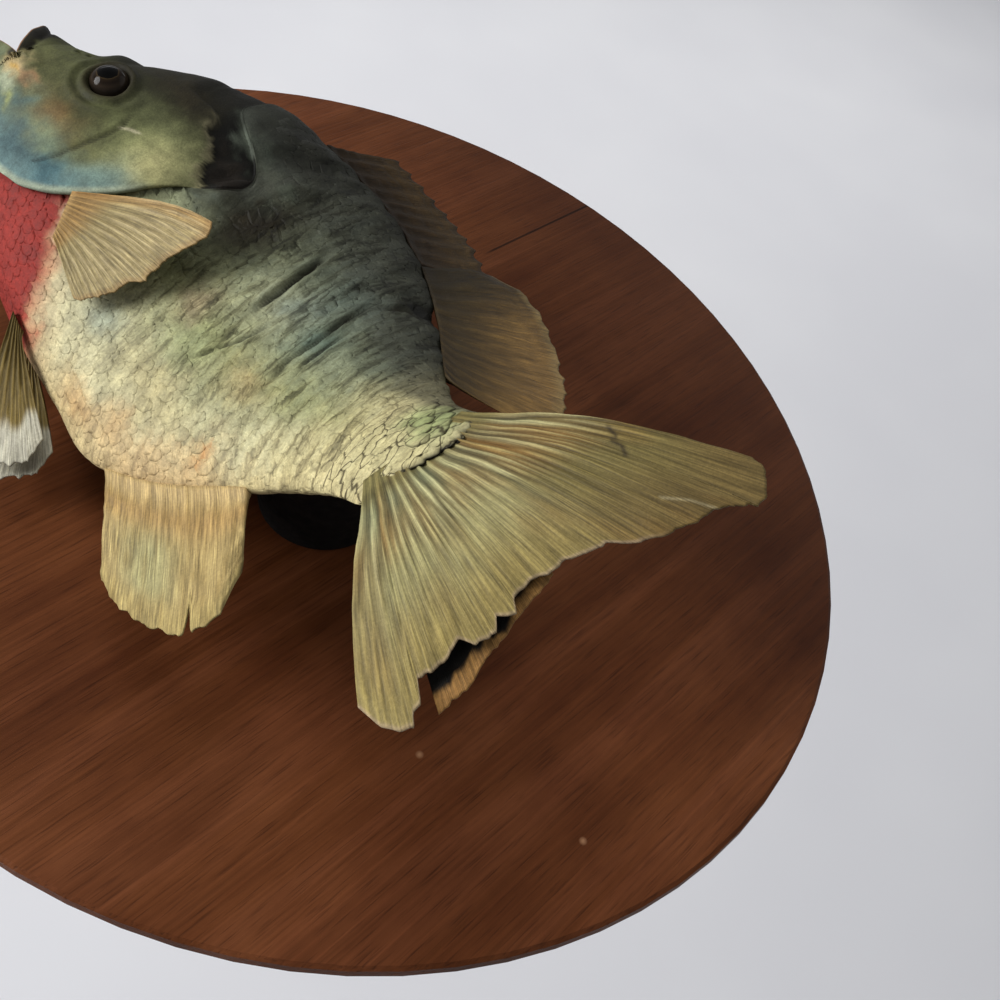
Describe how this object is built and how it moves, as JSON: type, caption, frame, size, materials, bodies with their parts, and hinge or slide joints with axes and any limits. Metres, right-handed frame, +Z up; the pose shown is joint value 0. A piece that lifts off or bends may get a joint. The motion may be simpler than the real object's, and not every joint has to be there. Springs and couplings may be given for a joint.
{
  "type": "mounted trophy fish",
  "caption": "Mounted bluegill sunfish with open mouth and a tail curved out, standing on a round block on an oval wooden wall board",
  "frame": {"origin": "centre of the board's flat back, where it meets the wall", "axes": "+X runs along the board from the fish's head end to its tail end, +Y points into the wall, +Z is up, along the board's grain"},
  "size_m": [0.253, 0.091, 0.229],
  "materials": {
    "stained_wood": "dark stained open-grained hardwood with thin satin varnish",
    "painted_wood": "turned softwood painted matt black",
    "head_skin": "dried fish skin painted olive and blue, satin",
    "dark_skin": "dried skin painted black, satin",
    "flank_skin": "dried scaled skin, painted and cracked",
    "eye_glass": "dark glass eye, polished",
    "fin": "dried rayed fin painted ochre, satin",
    "pale_fin": "dried rayed fin painted cream ochre, satin",
    "backing_card": "aged fibrous card, matt"
  },
  "bodies": {
    "root": {"board": "stained_wood", "mount_block": "painted_wood", "head": "head_skin", "lower_jaw": "head_skin", "gill_cover_left": "head_skin", "gill_cover_right": "head_skin", "ear_flap_left": "dark_skin", "ear_flap_right": "dark_skin", "eye_left": "eye_glass", "eye_right": "eye_glass", "trunk": "flank_skin", "tail_stock": "flank_skin", "dorsal_spiny": "fin", "dorsal_soft": "fin", "anal_fin": "fin", "tail_fin": "fin", "tail_fin_backing": "backing_card", "pectoral_left": "pale_fin", "pectoral_right": "pale_fin", "pelvic_left": "fin", "pelvic_right": "fin"}
  },
  "joints": []
}
